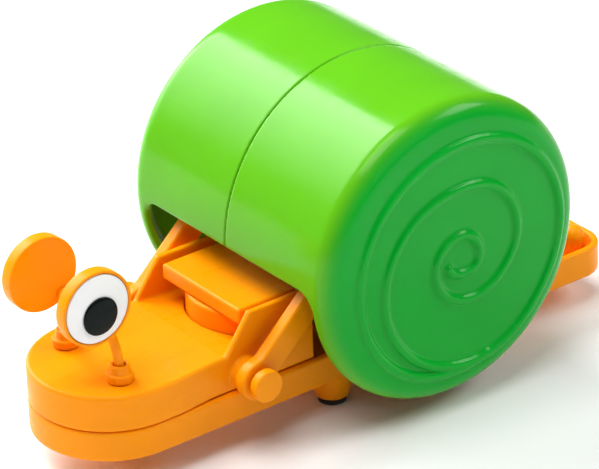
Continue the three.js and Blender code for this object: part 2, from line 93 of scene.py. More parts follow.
CHEEK_OUTER = 12.2
CHEEK_INNER = 11.1
CHEEK_FOOT_Y = -25.5
NARROW_FROM_Y = -36.0
NARROW_LENGTH = 9.0

SHELL_RADIUS = (box_mm("shell_right")[1] - box_mm("shell_right")[0])[2] / 2
SHELL_FACE_X = 25.4
SHELL_WALL = 1.5
SHELL_EDGE = 3.6
MOUTH_HALF_WIDTH = 21.4
MOUTH_TOP = 27.0
REAR_EDGE_Z = TRAY_TOP + 0.45


# ---------------------------------------------------------------- distance functions

def corner_distance(a, b, radius=0.0):
    """The inside corner of two half spaces, rounded by a radius: where both a and b are negative."""
    a, b = a + radius, b + radius
    outside = np.hypot(np.maximum(a, 0), np.maximum(b, 0))
    return outside + np.minimum(np.maximum(a, b), 0) - radius


def join(a, b, blend=0.0):
    """Union, with a fillet of about the blend's size."""
    if not blend:
        return np.minimum(a, b)
    h = np.clip(0.5 + 0.5 * (b - a) / blend, 0, 1)
    return b + (a - b) * h - blend * h * (1 - h)


def carve(a, tool, blend=0.0):
    """a without the tool, with the rim rounded by the blend."""
    return -join(-a, tool, blend)


def common(a, b, blend=0.0):
    return -join(-a, -b, blend)


def rounded_box(p, low, high, radius):
    low, high = np.array(low, float), np.array(high, float)
    q = np.abs(p - (low + high) / 2) - (high - low) / 2 + radius
    outside = np.linalg.norm(np.maximum(q, 0), axis=1)
    return outside + np.minimum(q.max(axis=1), 0) - radius


def slab(u, low, high):
    return np.abs(u - (low + high) / 2) - (high - low) / 2


def rod(p, axis, centre, radius, low, high, edge=0.0):
    """A round rod along an axis (0, 1 or 2) through the centre's other two coordinates."""
    others = [k for k in range(3) if k != axis]
    radial = np.hypot(p[:, others[0]] - centre[0], p[:, others[1]] - centre[1]) - radius
    return corner_distance(radial, slab(p[:, axis], low, high), edge)


def polygon(u, v, points):
    """Distance to a convex outline, given counter-clockwise as (u, v) points."""
    sides = []
    for (u0, v0), (u1, v1) in zip(points, points[1:] + points[:1]):
        length = math.hypot(u1 - u0, v1 - v0)
        sides.append(((u - u0) * (v1 - v0) - (v - v0) * (u1 - u0)) / length)
    return np.max(sides, axis=0)


def segment(p, a, b, radius):
    """A capsule from a to b."""
    a, b = np.array(a, float), np.array(b, float)
    t = np.clip((p - a) @ (b - a) / ((b - a) @ (b - a)), 0, 1)
    return np.linalg.norm(p - a - t[:, None] * (b - a), axis=1) - radius


# ---------------------------------------------------------------- meshes from distance functions

COARSE = 4  # fine steps in a coarse cell


def sample(sdf, low, step, cells):
    """Values of sdf on a fine grid. Away from the surface, the coarse cell's own value stands in."""
    axes = [low[k] + (np.arange(cells[k]) + 0.5) * step * COARSE for k in range(3)]
    centres = np.stack(np.meshgrid(*axes, indexing="ij"), axis=-1).reshape(-1, 3)
    coarse = sdf(centres).reshape(cells)
    reach = step * COARSE * math.sqrt(3) / 2 * 1.3
    index = [np.minimum(np.arange(cells[k] * COARSE + 1) // COARSE, cells[k] - 1) for k in range(3)]
    values = coarse[np.ix_(*index)]
    near = np.argwhere(np.abs(values) < reach)
    values[tuple(near.T)] = sdf(low + near * step)
    return values


def surface_net(sdf, low, high, step):
    """Vertices and quads of the surface where sdf is zero, by naive surface nets."""
    low = np.array(low, float) - 2.37 * step
    cells = np.ceil((np.array(high, float) + 2.37 * step - low) / (step * COARSE)).astype(int)
    values = sample(sdf, low, step, tuple(cells))
    inside = values < 0
    size = np.array(values.shape) - 1
    corners = list(product((0, 1), repeat=3))
    window = [tuple(slice(d[k], d[k] + size[k]) for k in range(3)) for d in corners]
    count = sum(inside[w].astype(np.int8) for w in window)
    active = (count > 0) & (count < 8)
    number = np.full(active.shape, -1)
    number[active] = np.arange(active.sum())
    cell = np.argwhere(active)
    level = np.stack([values[w][active] for w in window], axis=1)
    total = np.zeros((len(cell), 3))
    crossings = np.zeros(len(cell))
    for i, j in product(range(8), repeat=2):
        a, b = np.array(corners[i]), np.array(corners[j])
        if i < j and np.abs(a - b).sum() == 1:
            hit = (level[:, i] < 0) != (level[:, j] < 0)
            gap = np.where(hit, level[:, i] - level[:, j], 1.0)
            total += np.where(hit[:, None], a + (level[:, i] / gap)[:, None] * (b - a), 0.0)
            crossings += hit
    vertices = low + (cell + total / crossings[:, None]) * step

    quads = []
    for axis in range(3):
        b_step, c_step = np.roll(np.eye(3, dtype=int), axis, axis=1)[1:]
        lower = inside[tuple(slice(0, -1) if k == axis else slice(1, -1) for k in range(3))]
        upper = inside[tuple(slice(1, None) if k == axis else slice(1, -1) for k in range(3))]
        for solid_below in (True, False):
            edge = np.argwhere((lower == solid_below) & (upper != solid_below))
            edge += [0 if k == axis else 1 for k in range(3)]
            ring = [edge - b_step - c_step, edge - c_step, edge, edge - b_step]
            if not solid_below:
                ring.reverse()
            quads.append(np.stack([number[tuple(c.T)] for c in ring], axis=1))
    return settle(sdf, vertices, step), np.concatenate(quads)


def gradient(sdf, points, reach=0.01):
    offsets = np.eye(3) * reach
    return np.stack([(sdf(points + o) - sdf(points - o)) / (2 * reach) for o in offsets], axis=1)


def settle(sdf, vertices, step, rounds=3):
    """Moves the vertices onto the surface."""
    for _ in range(rounds):
        slope = gradient(sdf, vertices)
        move = -sdf(vertices)[:, None] * slope / np.maximum((slope ** 2).sum(axis=1), 0.25)[:, None]
        length = np.linalg.norm(move, axis=1, keepdims=True)
        vertices = vertices + move * np.minimum(1, 0.5 * step / np.maximum(length, 1e-9))
    return vertices


def add_object(name, vertices, faces, material):
    mesh = bpy.data.meshes.new(name)
    mesh.from_pydata((np.array(vertices) * MM).tolist(), [], [list(map(int, face)) for face in faces])
    mesh.shade_smooth()
    mesh.materials.append(material)
    piece = bpy.data.objects.new(name, mesh)
    bpy.context.scene.collection.objects.link(piece)
    return piece


def settle_in(piece, node, body):
    """The piece stands for a CAD node and rides on its body."""
    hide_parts(node)
    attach(piece, body)
    return piece


def moulded(node, body, slot, sdf, step):
    """A piece meshed from its distance function, in the CAD node's box."""
    box_low, box_high = box_mm(node)
    vertices, quads = surface_net(sdf, box_low, box_high, step)
    piece = add_object(f"{node}_fine", vertices, quads, MATERIALS[slot])
    return settle_in(piece, node, body)


def mirrored(piece, node, body):
    """The left-hand copy of a right-hand piece."""
    twin = piece.copy()
    twin.data = piece.data.copy()
    twin.name = f"{node}_fine"
    twin.parent = None
    twin.data.transform(Matrix.Scale(-1, 4, Vector((1, 0, 0))))
    twin.data.flip_normals()
    bpy.context.scene.collection.objects.link(twin)
    return settle_in(twin, node, body)


# ---------------------------------------------------------------- turned pieces

def soften(profile, radius, steps=4):
    """A profile of (radius, height) points with its inner corners rounded, at most by radius."""
    rounded = [profile[0]]
    for before, corner, after in zip(profile, profile[1:], profile[2:]):
        before, corner, after = (np.array(point, float) for point in (before, corner, after))
        into, out = corner - before, after - corner
        cut = min(radius, 0.45 * np.linalg.norm(into), 0.45 * np.linalg.norm(out))
        start = corner - into / np.linalg.norm(into) * cut
        end = corner + out / np.linalg.norm(out) * cut
        for t in np.linspace(0, 1, steps + 1):
            rounded.append((1 - t) ** 2 * start + 2 * t * (1 - t) * corner + t ** 2 * end)
    rounded.append(profile[-1])
    return [tuple(point) for point in rounded]


def turned(node, body, slot, profile, axis, centre, segments=72):
    """A profile of (radius, height) turned about an axis (0 for X, 2 for Z) through the centre."""
    angles = np.arange(segments) * 2 * math.pi / segments
    vertices, rows = [], []
    closed = math.dist(profile[0], profile[-1]) < 1e-6
    for radius, height in profile[:-1] if closed else profile:
        spots = [(radius * math.cos(a), radius * math.sin(a)) for a in angles] if radius > 1e-6 else [(0, 0)]
        rows.append([len(vertices) + k % len(spots) for k in range(segments)])
        for u, v in spots:
            vertices.append((height, u + centre[0], v + centre[1]) if axis == 0
                            else (u + centre[0], v + centre[1], height))
    if closed:
        rows.append(rows[0])
    faces = []
    for low, high in zip(rows, rows[1:]):
        for i in range(segments):
            ring = [low[i], low[i - 1], high[i - 1], high[i]]
            faces.append([corner for k, corner in enumerate(ring) if corner != ring[k - 1]])
    piece = add_object(f"{node}_fine", vertices, [face for face in faces if len(face) > 2], MATERIALS[slot])
    outward(piece.data)
    return settle_in(piece, node, body)


def outward(mesh):
    """Turns a closed mesh's faces to look outwards."""
    shape = bmesh.new()
    shape.from_mesh(mesh)
    bmesh.ops.recalc_face_normals(shape, faces=shape.faces)
    shape.to_mesh(mesh)
    shape.free()


# ---------------------------------------------------------------- materials

def new_material(name):
    material = bpy.data.materials.new(name)
    material.use_nodes = True
    nodes = material.node_tree.nodes
    shader = nodes["Principled BSDF"]
    return material, nodes, material.node_tree.links, shader


def noise(nodes, links, scale, detail=2.0, stretch=None):
    """A noise texture in object space; scale is in features per metre."""
    place = nodes.new("ShaderNodeTexCoord")
    texture = nodes.new("ShaderNodeTexNoise")
    texture.inputs["Scale"].default_value = scale
    texture.inputs["Detail"].default_value = detail
    source = place.outputs["Object"]
    if stretch:
        mapping = nodes.new("ShaderNodeMapping")
        mapping.inputs["Scale"].default_value = stretch
        links.new(source, mapping.inputs["Vector"])
        source = mapping.outputs["Vector"]
    links.new(source, texture.inputs["Vector"])
    return texture


def ramp(nodes, links, source, stops):
    """A colour ramp over a value; stops are (position, colour)."""
    node = nodes.new("ShaderNodeValToRGB")
    elements = node.color_ramp.elements
    while len(elements) < len(stops):
        elements.new(0.5)
    for element, (position, colour) in zip(elements, stops):
        element.position = position
        element.color = (*colour, 1.0)
    links.new(source, node.inputs["Fac"])
    return node


def map_range(nodes, links, source, low, high):
    node = nodes.new("ShaderNodeMapRange")
    node.inputs["From Min"].default_value = 0.35
    node.inputs["From Max"].default_value = 0.65
    node.inputs["To Min"].default_value = low
    node.inputs["To Max"].default_value = high
    links.new(source, node.inputs["Value"])
    return node.outputs["Result"]


def bump(nodes, links, shader, heights, distance):
    """Adds heights, each a (source, strength) pair, as one chain of bumps."""
    normal = None
    for source, strength in heights:
        node = nodes.new("ShaderNodeBump")
        node.inputs["Strength"].default_value = strength
        node.inputs["Distance"].default_value = distance
        links.new(source, node.inputs["Height"])
        if normal is not None:
            links.new(normal, node.inputs["Normal"])
        normal = node.outputs["Normal"]
    links.new(normal, shader.inputs["Normal"])


def shades(colour, spread=0.06):
    """Ramp stops for one colour: slightly deeper and lighter at the ends."""
    deep = [c * (1 - spread) for c in colour]
    light = [c * (1 + spread) for c in colour]
    return [(0.3, deep), (0.5, colour), (0.72, light)]


def gloss_plastic(name, colour, roughness, glow=0.0, painted_end_shade_colour=None, shine=0.5):
    """Injection-moulded plastic: faint flow marks in the colour, a slight orange peel and fine scuffs.

    With an end colour, the piece changes to it over the shell's rounded edges: painted light and shade,
    standing in for the round side lit warmer and the flat ends lit less, on one plastic.
    """
    material, nodes, links, shader = new_material(name)
    flow = noise(nodes, links, 60, 3, stretch=(1.0, 0.45, 1.0))
    shade = ramp(nodes, links, flow.outputs["Fac"], shades(colour)).outputs["Color"]
    # Painted shade and light: the flat ends get their own deeper, bluer green and the round side keeps the
    # warmer lit green, for one green plastic under different light.
    if painted_end_shade_colour:
        painted_end_shade_ramp = ramp(nodes, links, flow.outputs["Fac"], shades(painted_end_shade_colour)).outputs["Color"]
        place = nodes.new("ShaderNodeTexCoord")
        split = nodes.new("ShaderNodeSeparateXYZ")
        distance = nodes.new("ShaderNodeMath")
        distance.operation = "ABSOLUTE"
        edge = nodes.new("ShaderNodeMapRange")
        edge.interpolation_type = "SMOOTHSTEP"
        edge.inputs["From Min"].default_value = (SHELL_FACE_X - 2.6) * MM
        edge.inputs["From Max"].default_value = SHELL_FACE_X * MM
        blend = nodes.new("ShaderNodeMix")
        blend.data_type = "RGBA"
        links.new(place.outputs["Object"], split.inputs["Vector"])
        links.new(split.outputs["X"], distance.inputs[0])
        links.new(distance.outputs["Value"], edge.inputs["Value"])
        links.new(edge.outputs["Result"], blend.inputs["Factor"])
        first, second = [socket for socket in blend.inputs if socket.type == "RGBA"]
        links.new(shade, first)
        links.new(painted_end_shade_ramp, second)
        shade = next(socket for socket in blend.outputs if socket.type == "RGBA")
    links.new(shade, shader.inputs["Base Color"])
    scuffs = noise(nodes, links, 420, 6, stretch=(1.0, 0.3, 1.0))
    links.new(map_range(nodes, links, scuffs.outputs["Fac"], roughness * 0.8, roughness * 1.35),
              shader.inputs["Roughness"])
    peel = noise(nodes, links, 900, 1)
    sink = noise(nodes, links, 130, 1)
    bump(nodes, links, shader, [(peel.outputs["Fac"], 0.035), (sink.outputs["Fac"], 0.05)], 0.0004)
    shader.inputs["IOR"].default_value = 1.5
    shader.inputs["Specular IOR Level"].default_value = shine
    shader.inputs["Subsurface Weight"].default_value = glow
    shader.inputs["Subsurface Radius"].default_value = (1.0, 0.5, 0.15)
    shader.inputs["Subsurface Scale"].default_value = 0.0012
    return material


def rubber_material(name):
    material, nodes, links, shader = new_material(name)
    grain = noise(nodes, links, 2600, 4)
    colour = ramp(nodes, links, grain.outputs["Fac"],
                  [(0.3, (0.010, 0.010, 0.010)), (0.7, (0.035, 0.034, 0.033))])
    links.new(colour.outputs["Color"], shader.inputs["Base Color"])
    links.new(map_range(nodes, links, grain.outputs["Fac"], 0.65, 0.9), shader.inputs["Roughness"])
    bump(nodes, links, shader, [(grain.outputs["Fac"], 0.3)], 0.0002)
    return material


def metal_material(name, dark, light, roughness, stretch):
    material, nodes, links, shader = new_material(name)
    grain = noise(nodes, links, 1500, 5, stretch=stretch)
    colour = ramp(nodes, links, grain.outputs["Fac"], [(0.3, dark), (0.7, light)])
    links.new(colour.outputs["Color"], shader.inputs["Base Color"])
    links.new(map_range(nodes, links, grain.outputs["Fac"], roughness * 0.8, roughness * 1.3),
              shader.inputs["Roughness"])
    bump(nodes, links, shader, [(grain.outputs["Fac"], 0.12)], 0.0001)
    shader.inputs["Metallic"].default_value = 1.0
    return material


def card_material(name):
    """Spiral-wound core board: fibres along the wall and faint winding bands."""
    material, nodes, links, shader = new_material(name)
    fibre = noise(nodes, links, 1800, 6, stretch=(0.25, 1.0, 1.0))
    colour = ramp(nodes, links, fibre.outputs["Fac"],
                  [(0.3, (0.34, 0.22, 0.11)), (0.7, (0.60, 0.44, 0.26))])
    links.new(colour.outputs["Color"], shader.inputs["Base Color"])
    links.new(map_range(nodes, links, fibre.outputs["Fac"], 0.75, 0.95), shader.inputs["Roughness"])
    bump(nodes, links, shader, [(fibre.outputs["Fac"], 0.25)], 0.0002)
    return material


def tape_material(name):
    """Wound film tape: fine rings about the spool's axis."""
    material, nodes, links, shader = new_material(name)
    place = nodes.new("ShaderNodeTexCoord")
    shift = nodes.new("ShaderNodeMapping")
    shift.inputs["Location"].default_value = (0, -SHELL_Y * MM, -SHELL_Z * MM)
    links.new(place.outputs["Object"], shift.inputs["Vector"])
    rings = nodes.new("ShaderNodeTexWave")
    rings.wave_type = "RINGS"
    rings.rings_direction = "X"
    rings.inputs["Scale"].default_value = 900
    rings.inputs["Distortion"].default_value = 0.6
    links.new(shift.outputs["Vector"], rings.inputs["Vector"])
    colour = ramp(nodes, links, rings.outputs["Fac"],
                  [(0.2, (0.62, 0.56, 0.42)), (0.8, (0.86, 0.83, 0.72))])
    links.new(colour.outputs["Color"], shader.inputs["Base Color"])
    links.new(map_range(nodes, links, rings.outputs["Fac"], 0.25, 0.4), shader.inputs["Roughness"])
    bump(nodes, links, shader, [(rings.outputs["Fac"], 0.15)], 0.0001)
    shader.inputs["Subsurface Weight"].default_value = 0.2
    shader.inputs["Subsurface Scale"].default_value = 0.001
    return material


MATERIALS = {
    "orange_plastic": gloss_plastic(
        "orange_plastic", (0.95, 0.30, 0.001), 0.30, glow=0.05, shine=0.12),
    # The green's two colours are painted light: the round side's yellower lit green and the end faces' deeper
    # shaded green stand for one plastic.
    "green_plastic": gloss_plastic(
        "green_plastic", (0.105, 0.44, 0.008), 0.16, painted_end_shade_colour=(0.001, 0.38, 0.025), shine=0.18),
    "eye_white": gloss_plastic("eye_white", (0.88, 0.88, 0.88), 0.16),
    "eye_black": gloss_plastic("eye_black", (0.003, 0.006, 0.005), 0.14, shine=0.1),
    "black_rubber": rubber_material("black_rubber"),
    "screw_steel": metal_material(
        "screw_steel", (0.45, 0.46, 0.47), (0.70, 0.71, 0.72), 0.3, (1, 1, 0.2)),
    "ballast_steel": metal_material(
        "ballast_steel", (0.28, 0.29, 0.30), (0.48, 0.48, 0.49), 0.45, (0.2, 1, 1)),
    "spring_steel": metal_material(
        "spring_steel", (0.42, 0.42, 0.43), (0.66, 0.66, 0.67), 0.28, (1, 1, 1)),
    "core_card": card_material("core_card"),
    "tape_film": tape_material("tape_film"),
}


# ---------------------------------------------------------------- base tray

def plan_outline(x, y, half, front, tail, tail_corner):
    """Distance in plan to a strip with a half-round front and two small corners at the tail."""
    centre = (front + tail) / 2
    radius = np.where(y < centre, half, tail_corner)
    across = np.abs(x) - half + radius
    along = np.abs(y - centre) - (tail - front) / 2 + radius
    outside = np.hypot(np.maximum(across, 0), np.maximum(along, 0))
    return outside + np.minimum(np.maximum(across, along), 0) - radius


FOOT_NODES = ["front", "mid_right", "mid_left", "rear_right", "rear_left"]
SCREW_NODES = ["front_right", "front_left", "rear_right", "rear_left"]
FOOT_TOP_RADIUS = 3.1
FOOT_SOLE_RADIUS = 2.3


def foot_peg(p, centre):
    """A rounded bowl that carries a rubber sole."""
    radial = np.hypot(p[:, 0] - centre[0], p[:, 1] - centre[1])
    height = np.clip((p[:, 2] - SOLE_TOP) / (TRAY_BOTTOM - SOLE_TOP), 0, 1)
    side = FOOT_SOLE_RADIUS + (FOOT_TOP_RADIUS - FOOT_SOLE_RADIUS) * np.sqrt(1 - (1 - height) ** 2)
    return corner_distance((radial - side) * 0.75, slab(p[:, 2], SOLE_TOP + 0.2, TRAY_BOTTOM + 0.5), 0.2)


def tray_sdf(p):
    x, y, z = p.T
    outline = plan_outline(x, y, HALF_WIDTH, FRONT_Y, TAIL_Y, TAIL_CORNER)
    outer = corner_distance(outline, slab(z, TRAY_BOTTOM, TRAY_TOP), 0.45)
    inset = plan_outline(x, y, HALF_WIDTH - WALL, FRONT_Y + WALL, TAIL_Y - WALL, TAIL_CORNER - WALL)
    hollow = corner_distance(inset, slab(z, TRAY_BOTTOM + WALL, TRAY_TOP + 5), 0.6)
    solid = carve(outer, hollow, 0.3)
    for place in FOOT_NODES:
        solid = join(solid, foot_peg(p, middle(f"sole_{place}")), 0.3)
    for place in SCREW_NODES:
        centre = middle(f"screw_{place}")
        solid = join(solid, rod(p, 2, centre, 3.0, TRAY_BOTTOM + 0.5, TRAY_BOTTOM + 3, 0.2), 0.3)
    for place in SCREW_NODES:
        centre = middle(f"screw_{place}")
        solid = carve(solid, rod(p, 2, centre, 2.1, 0, TRAY_BOTTOM + 1.4), 0.15)
        solid = carve(solid, rod(p, 2, centre, 1.05, 0, 20))
    return join(solid, rod(p, 2, middle("ballast_disc"), 1.2, TRAY_BOTTOM + 0.5, TRAY_BOTTOM + 4, 0.3), 0.2)


# ---------------------------------------------------------------- upper body

def upper_plan(x, y, inset=0.0):
    """The upper body's outline in plan: round in front, and drawing in towards the arms."""
    step_in = np.clip((y - NARROW_FROM_Y) / NARROW_LENGTH, 0, 1)
    half = HALF_WIDTH - (HALF_WIDTH - CHEEK_OUTER) * step_in ** 2 * (3 - 2 * step_in) - inset
    nose = np.hypot(x, y - HEAD_Y) - half
    return np.maximum(np.where(y < HEAD_Y, nose, np.abs(x) - half), y - UPPER_HIGH[1] + inset)


def upper_sdf(p):
    x, y, z = p.T
    base = UPPER_BOTTOM
    block = corner_distance(upper_plan(x, y), slab(z, base, HEAD_TOP), 0.6)
    lower = corner_distance(upper_plan(x, y), slab(z, base, base + 3), 0.2)
    body = join(block, lower)
    top = UPPER_HIGH[2]
    side = polygon(y, z, [(CHEEK_FOOT_Y - 0.6, HEAD_TOP - 1.4), (-9.0, HEAD_TOP - 1.4), (-9.0, HEAD_TOP + 1),
                          (-10.2, top), (-21.0, top), (CHEEK_FOOT_Y, HEAD_TOP)])
    cheeks = corner_distance(side, slab(np.abs(x), CHEEK_INNER, CHEEK_OUTER), 0.25)
    body = join(body, cheeks, 0.25)
    # The floor dips slightly between the cheeks.
    dip = polygon(y, z, [(CHEEK_FOOT_Y, HEAD_TOP), (-20, 15.6), (-5, 15.6), (-5, 21), (CHEEK_FOOT_Y, 21)])
    body = carve(body, corner_distance(dip, np.abs(x) - CHEEK_INNER, 0.3), 0.25)
    collar = rod(p, 0, (PIVOT_Y, PIVOT_Z), 2.6, -COLLAR_X, COLLAR_X, 0.1)
    body = join(body, np.maximum(collar, base - z), 0.3)
    hollow = np.maximum(upper_plan(x, y, 1.5), z - np.where(y < CHEEK_FOOT_Y - 1, HEAD_TOP - 1.5, 11.0))
    body = carve(body, hollow)
    for place in SCREW_NODES:
        centre = middle(f"screw_{place}")
        post_top = HEAD_TOP - 1 if centre[1] < CHEEK_FOOT_Y else 11.5
        body = join(body, rod(p, 2, centre, 2.3, TRAY_BOTTOM + 3.2, post_top), 0.3)
        body = carve(body, rod(p, 2, centre, 1.0, 0, 10.8))
    body = carve(body, plunger_plan_rod(p, 0.2, 12.2, 20), 0.1)
    body = carve(body, rod(p, 2, (0, STEM_Y), 1.5, 0, 14))
    hole = np.hypot(y - PIVOT_Y, z - PIVOT_Z) - PIN_HOLE_RADIUS
    body = carve(body, np.maximum(hole, 9 - np.abs(x)))
    pocket = rounded_box(np.column_stack([np.abs(x), y, z]),
                         (8.9, PIVOT_Y - 1.9, 5), (10.7, PIVOT_Y + 1.9, PIVOT_Z + 1.9), 0.2)
    body = carve(body, pocket)
    socket = middle("eye_socket_right")
    ring = np.hypot(np.abs(x) - socket[0], y - socket[1]) - 1.7
    return carve(body, np.maximum(ring, 13.2 - z), 0.1)


# ---------------------------------------------------------------- sprung deck

PLUNGER_LOW, PLUNGER_HIGH = box_mm("deck_plunger")
PLUNGER_RADIUS = 10.3
PLUNGER_Y = PLUNGER_LOW[1] + PLUNGER_RADIUS
STEM_Y = -16.1


def plunger_plan_rod(p, grow, low, high, edge=0.0):
    """The plunger's D-shaped plan, grown outwards, from one height to another."""
    x, y, z = p.T
    plan = np.maximum(np.hypot(x, y - PLUNGER_Y) - PLUNGER_RADIUS, y - PLUNGER_HIGH[1]) - grow
    return corner_distance(plan, slab(z, low, high), edge)


def deck_plate_sdf(p):
    low, high = box_mm("deck_plate")
    return rounded_box(p, low, high, 0.45)


def plunger_sdf(p):
    x, y, z = p.T
    top = PLUNGER_HIGH[2]
    body = plunger_plan_rod(p, 0, 14.1, top, 0.5)
    body = carve(body, plunger_plan_rod(p, -1.2, 0, top - 1.2, 0.3), 0.1)
    shank = rod(p, 2, (0, STEM_Y), 1.2, PLUNGER_LOW[2], top - 0.5)
    radial = np.hypot(x, y - STEM_Y)
    taper = np.clip(1.0 + (z - PLUNGER_LOW[2]), 0, 2.0)
    barb = np.maximum(radial - taper, slab(z, PLUNGER_LOW[2], 10.7)) * 0.7
    return join(join(body, shank, 0.3), barb)


# ---------------------------------------------------------------- arms and pins

ARM_LOW, ARM_HIGH = box_mm("arm_right")
COLLAR_X = ARM_LOW[0] - 0.2
HUB_RADIUS = ARM_HIGH[1] - SHELL_Y
ARM_WIDTH = 4.3
PEG_CIRCLE = 8.6
PEG_ANGLES = (90, 210, 330)
SLOT_ANGLE = math.radians(-55)


def peg_centres():
    for degrees in PEG_ANGLES:
        angle = math.radians(degrees)
        yield SHELL_Y + PEG_CIRCLE * math.cos(angle), SHELL_Z + PEG_CIRCLE * math.sin(angle)


def along(y, z, start, angle, length, width):
    """Distance in side view to a straight bar from start along an angle."""
    u = (y - start[0]) * math.cos(angle) + (z - start[1]) * math.sin(angle)
    v = (z - start[1]) * math.cos(angle) - (y - start[0]) * math.sin(angle)
    return corner_distance(slab(u, 0, length), np.abs(v) - width / 2)


def arm_sdf(p):
    x, y, z = p.T
    reach = math.hypot(SHELL_Y - PIVOT_Y, SHELL_Z - PIVOT_Z)
    lift = math.asin((HUB_RADIUS - ARM_WIDTH / 2) / reach)
    tilt = math.atan2(SHELL_Z - PIVOT_Z, SHELL_Y - PIVOT_Y) + lift
    eye = np.hypot(y - PIVOT_Y, z - PIVOT_Z)
    hub = np.hypot(y - SHELL_Y, z - SHELL_Z)
    bar = along(y, z, (PIVOT_Y, PIVOT_Z), tilt, reach * math.cos(lift), ARM_WIDTH)
    side = join(join(eye - 3.2, bar, 0.8), hub - HUB_RADIUS, 0.5)
    side = carve(side, eye - PIN_HOLE_RADIUS)
    side = carve(side, join(hub - 2.5, along(y, z, (SHELL_Y, SHELL_Z), SLOT_ANGLE, 20, 3.9)), 0.2)
    for centre in peg_centres():
        side = carve(side, np.hypot(y - centre[0], z - centre[1]) - 1.3)
    return corner_distance(side, slab(x, ARM_LOW[0], ARM_HIGH[0]), 0.35)


PIN_LOW, PIN_HIGH = box_mm("pivot_pin_right")
PIN_RADIUS = 1.2
PIN_HOLE_RADIUS = 1.5
BARB_RADIUS = 1.7
BARB_BACK_X = 10.4
KNOB_RADIUS = 2.6
KNOB_DEPTH = 1.7
KNOB_COLLAR_RADIUS = 2.1


def pin_sdf(p):
    """A knob with a stepped collar, a shank, and a split barb that snaps into the body."""
    x, y, z = p.T
    radial = np.hypot(y - PIVOT_Y, z - PIVOT_Z)
    knob_back = PIN_HIGH[0] - KNOB_DEPTH
    knob = corner_distance(radial - KNOB_RADIUS, slab(x, knob_back, PIN_HIGH[0]), 0.35)
    collar = corner_distance(radial - KNOB_COLLAR_RADIUS, slab(x, ARM_HIGH[0] + 0.2, knob_back + 0.5), 0.1)
    shank = corner_distance(radial - PIN_RADIUS, slab(x, PIN_LOW[0], knob_back), 0.1)
    taper = np.clip(0.9 + (x - PIN_LOW[0]), 0, BARB_RADIUS)
    barb = np.maximum(radial - taper, slab(x, PIN_LOW[0], BARB_BACK_X)) * 0.7
    pin = join(join(join(knob, collar, 0.15), shank), barb)
    return carve(pin, np.maximum(np.abs(y - PIVOT_Y) - 0.3, x - ARM_LOW[0]))


# ---------------------------------------------------------------- shell

BEAD_HEIGHT = box_mm("shell_right")[1][0] - SHELL_FACE_X
BEAD_HALF_WIDTH = 0.75
BEAD_CENTRE = (1.5, -1.4)
BEAD_START = math.radians(-166.5)
BEAD_RADII = np.array([
    3.1, 2.5, 2.3, 2.9, 3.2, 3.7, 4.5, 5.2, 5.8, 6.3, 7.3, 8.7, 11, 12.3,
    12.5, 14.1, 15.9, 17.3, 18.5, 18.5, 19.6, 19.9, 19.8, 20.2, 20.2, 19.7, 18.3,
])  # at every eighth of a turn, from the middle outwards


def bead_path(steps_each=8):
    """Points of the spiral in side view, on smooth curves through its radii."""
    last = len(BEAD_RADII) - 1
    padded = np.concatenate([BEAD_RADII[:1], BEAD_RADII, BEAD_RADII[-1:]])
    points = []
    for step in range(last * steps_each + 1):
        i = min(step // steps_each, last - 1)
        u = step / steps_each - i
        before, start, end, after = padded[i:i + 4]
        square = (2 * before - 5 * start + 4 * end - after) * u ** 2
        cube = (3 * start - before - 3 * end + after) * u ** 3
        radius = 0.5 * (2 * start + (end - before) * u + square + cube)
        angle = BEAD_START + math.pi / 4 * (i + u)
        points.append((SHELL_Y + BEAD_CENTRE[0] + radius * math.cos(angle),
                       SHELL_Z + BEAD_CENTRE[1] + radius * math.sin(angle)))
    return np.array(points)


BEAD_PATH = bead_path()


def bead_distance(y, z):
    """Distance in side view to the spiral's centre line."""
    here = np.column_stack([y, z])
    nearest = np.full(len(y), 99.0)
    for a, b in zip(BEAD_PATH, BEAD_PATH[1:]):
        t = np.clip((here - a) @ (b - a) / ((b - a) @ (b - a)), 0, 1)
        nearest = np.minimum(nearest, np.linalg.norm(here - a - t[:, None] * (b - a), axis=1))
    return nearest


def shell_sdf(p):
    x, y, z = p.T
    radial = np.hypot(y - SHELL_Y, z - SHELL_Z)
    outer = corner_distance(radial - SHELL_RADIUS, x - SHELL_FACE_X, SHELL_EDGE)
    wall = np.maximum(outer, -outer - SHELL_WALL)
    mouth_side = join(np.maximum(y - SHELL_Y, z - MOUTH_TOP), z - REAR_EDGE_Z)
    mouth = corner_distance(mouth_side, x - MOUTH_HALF_WIDTH, 3.2)
    shell = carve(wall, mouth, 0.5)
    near_face = x > SHELL_FACE_X - 1.5
    ridge = np.full(len(x), 99.0)
    ridge[near_face] = bead_distance(y[near_face], z[near_face])
    bead = np.hypot(ridge / BEAD_HALF_WIDTH, np.maximum(x - SHELL_FACE_X, 0) / BEAD_HEIGHT) - 1
    bead = np.maximum(bead * 0.6, SHELL_FACE_X - 0.8 - x)
    shell = join(shell, bead, 0.25)
    tube = corner_distance(np.abs(radial - 5.3) - 0.9, slab(x, ARM_HIGH[0] + 0.3, SHELL_FACE_X - 0.5), 0.1)
    shell = join(shell, tube, 0.4)
    for centre in peg_centres():
        shell = join(shell, rod(p, 0, centre, 2.1, ARM_HIGH[0] + 0.3, SHELL_FACE_X - 0.5, 0.1), 0.4)
        shell = join(shell, rod(p, 0, centre, 1.0, ARM_LOW[0] - 0.2, ARM_HIGH[0] + 1, 0.2))
    return common(shell, 0.1 - x, 0.12)


# ---------------------------------------------------------------- make every piece

orange = "orange_plastic"
moulded("base_tray", "base", orange, tray_sdf, 0.32)
moulded("upper_body", "base", orange, upper_sdf, 0.25)
moulded("deck_plate", "deck", orange, deck_plate_sdf, 0.2)
moulded("deck_plunger", "deck", orange, plunger_sdf, 0.2)

